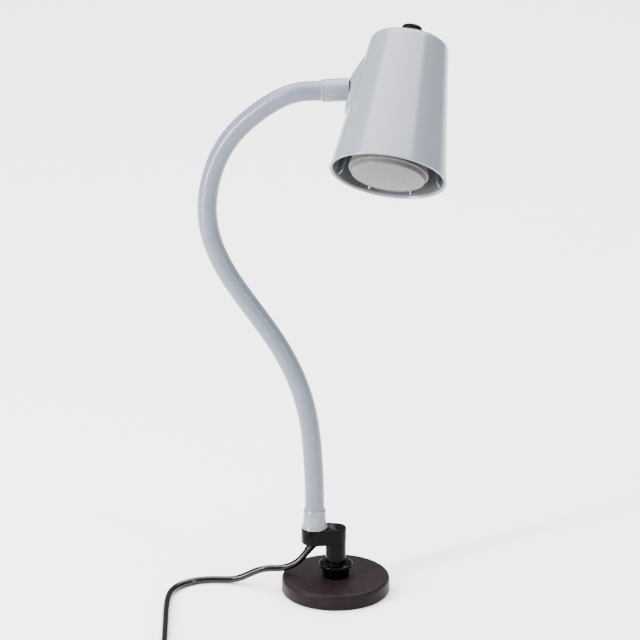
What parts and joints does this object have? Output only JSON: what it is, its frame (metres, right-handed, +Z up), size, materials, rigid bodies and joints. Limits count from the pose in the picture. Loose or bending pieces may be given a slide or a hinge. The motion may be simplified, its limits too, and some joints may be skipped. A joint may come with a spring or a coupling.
{
  "type": "heat lamp warmer",
  "caption": "Food-warming heat lamp: a tapered shade with a reflector lamp on a flexible arm that swivels on a round magnetic base, with a mains cord and plug.",
  "frame": {"origin": "centre of the base's flat underside, on the post's axis", "axes": "+Z up along the post; the flexible arm lies in the XZ plane with its head towards +X; the head leans its mouth towards -Y"},
  "size_m": [0.3339, 0.3864, 0.7052],
  "materials": {
    "coated_steel": "soft-touch dark coating, faintly pebbled",
    "gloss_black": "gloss black enamel",
    "satin_black": "satin black",
    "magnet": "sintered ferrite, dull",
    "zinc_steel": "zinc plated",
    "dark_steel": "black oxide",
    "pad_rubber": "matte",
    "washer_nylon": "black acetal",
    "arm_vinyl": "satin grey vinyl over a spiral steel hose",
    "grey_enamel": "smooth light grey",
    "shade_grey": "glossy light grey moulding",
    "ceramic": "glazed porcelain",
    "brass": "plain brass",
    "lamp_metal": "bright aluminium",
    "lamp_glass": "mirrored reflector glass",
    "lens_glass": "stippled frosted glass",
    "switch_plastic": "black phenolic",
    "knob_plastic": "black moulding, satin",
    "cord_rubber": "glossy black cord jacket",
    "lead_wire": "silicone lead insulation"
  },
  "bodies": {
    "base": {"base_cup": "coated_steel", "ring_magnet": "magnet", "pole_disc": "zinc_steel", "base_pad": "pad_rubber", "base_screw": "zinc_steel", "collar": "gloss_black", "collar_set_screw": "dark_steel", "swivel_washer": "washer_nylon"},
    "swivel": {"swivel_post": "gloss_black", "offset_block": "satin_black", "block_set_screw": "dark_steel", "cord_gland": "cord_rubber", "lower_fitting": "zinc_steel", "lower_ferrule": "grey_enamel", "cord_tube": "cord_rubber", "cord_coil": "cord_rubber", "cord_tail": "cord_rubber", "plug_body": "cord_rubber", "plug_blades": "brass", "plug_ground_pin": "brass"},
    "arm_01": {"arm_link_01": "arm_vinyl"},
    "arm_02": {"arm_link_02": "arm_vinyl"},
    "arm_03": {"arm_link_03": "arm_vinyl"},
    "arm_04": {"arm_link_04": "arm_vinyl"},
    "arm_05": {"arm_link_05": "arm_vinyl"},
    "arm_06": {"arm_link_06": "arm_vinyl"},
    "arm_07": {"arm_link_07": "arm_vinyl"},
    "arm_08": {"arm_link_08": "arm_vinyl"},
    "arm_09": {"arm_link_09": "arm_vinyl"},
    "arm_10": {"arm_link_10": "arm_vinyl"},
    "arm_11": {"arm_link_11": "arm_vinyl"},
    "arm_tip": {"upper_fitting": "zinc_steel", "upper_sleeve": "grey_enamel", "head_washer": "washer_nylon", "spring_washer": "zinc_steel", "head_nut": "brass"},
    "head": {"shade": "shade_grey", "holder_bracket": "zinc_steel", "bracket_screws": "zinc_steel", "holder_screws": "zinc_steel", "lamp_holder": "ceramic", "holder_shell": "brass", "holder_contact": "brass", "lamp_cap": "lamp_metal", "lamp_reflector": "lamp_glass", "lamp_lens": "lens_glass", "rotary_switch": "switch_plastic", "switch_nut": "zinc_steel", "switch_leads": "lead_wire"},
    "knob": {"switch_knob": "knob_plastic"}
  },
  "joints": [
    {"name": "base_swivel", "type": "hinge", "parent": "base", "child": "swivel", "pos_m": [0, 0, 0.04], "axis": [0, 0, 1], "continuous": true},
    {"name": "arm_bend_01", "type": "hinge", "parent": "swivel", "child": "arm_01", "pos_m": [-0.025, 0, 0.113], "axis": [0, -1, 0], "range_deg": [-12, 12]},
    {"name": "arm_side_02", "type": "hinge", "parent": "arm_01", "child": "arm_02", "pos_m": [-0.02688, 0, 0.16697], "axis": [0.9976, 0, 0.0698], "range_deg": [-12, 12]},
    {"name": "arm_bend_03", "type": "hinge", "parent": "arm_02", "child": "arm_03", "pos_m": [-0.03253, 0, 0.22067], "axis": [0, -1, 0], "range_deg": [-12, 12]},
    {"name": "arm_side_04", "type": "hinge", "parent": "arm_03", "child": "arm_04", "pos_m": [-0.04741, 0, 0.27258], "axis": [0.9304, 0, 0.3665], "range_deg": [-12, 12]},
    {"name": "arm_bend_05", "type": "hinge", "parent": "arm_04", "child": "arm_05", "pos_m": [-0.07193, 0, 0.32069], "axis": [0, -1, 0], "range_deg": [-12, 12]},
    {"name": "arm_side_06", "type": "hinge", "parent": "arm_05", "child": "arm_06", "pos_m": [-0.10212, 0, 0.36546], "axis": [0.8387, 0, 0.5446], "range_deg": [-12, 12]},
    {"name": "arm_bend_07", "type": "hinge", "parent": "arm_06", "child": "arm_07", "pos_m": [-0.13074, 0, 0.41126], "axis": [0, -1, 0], "range_deg": [-12, 18]},
    {"name": "arm_side_08", "type": "hinge", "parent": "arm_07", "child": "arm_08", "pos_m": [-0.14832, 0, 0.46231], "axis": [0.989, 0, 0.1478], "range_deg": [-12, 12]},
    {"name": "arm_bend_09", "type": "hinge", "parent": "arm_08", "child": "arm_09", "pos_m": [-0.14644, 0, 0.51628], "axis": [0, -1, 0], "range_deg": [-11, 24]},
    {"name": "arm_side_10", "type": "hinge", "parent": "arm_09", "child": "arm_10", "pos_m": [-0.12621, 0, 0.56635], "axis": [0.8387, 0, -0.5446], "range_deg": [-12, 12]},
    {"name": "arm_bend_11", "type": "hinge", "parent": "arm_10", "child": "arm_11", "pos_m": [-0.0887, 0, 0.60519], "axis": [0, -1, 0], "range_deg": [-11, 24]},
    {"name": "arm_side_12", "type": "hinge", "parent": "arm_11", "child": "arm_tip", "pos_m": [-0.04016, 0, 0.62887], "axis": [0.2504, 0, -0.9681], "range_deg": [-12, 12]},
    {"name": "head_swivel", "type": "hinge", "parent": "arm_tip", "child": "head", "pos_m": [0.01526, 0, 0.63177], "axis": [0.9986, 0, 0.0523], "range_deg": [-60, 120]},
    {"name": "switch_turn", "type": "hinge", "parent": "head", "child": "knob", "pos_m": [0.08643, 0.04204, 0.68225], "axis": [0.1524, 0.6568, 0.7385], "range_deg": [0, 90]}
  ]
}
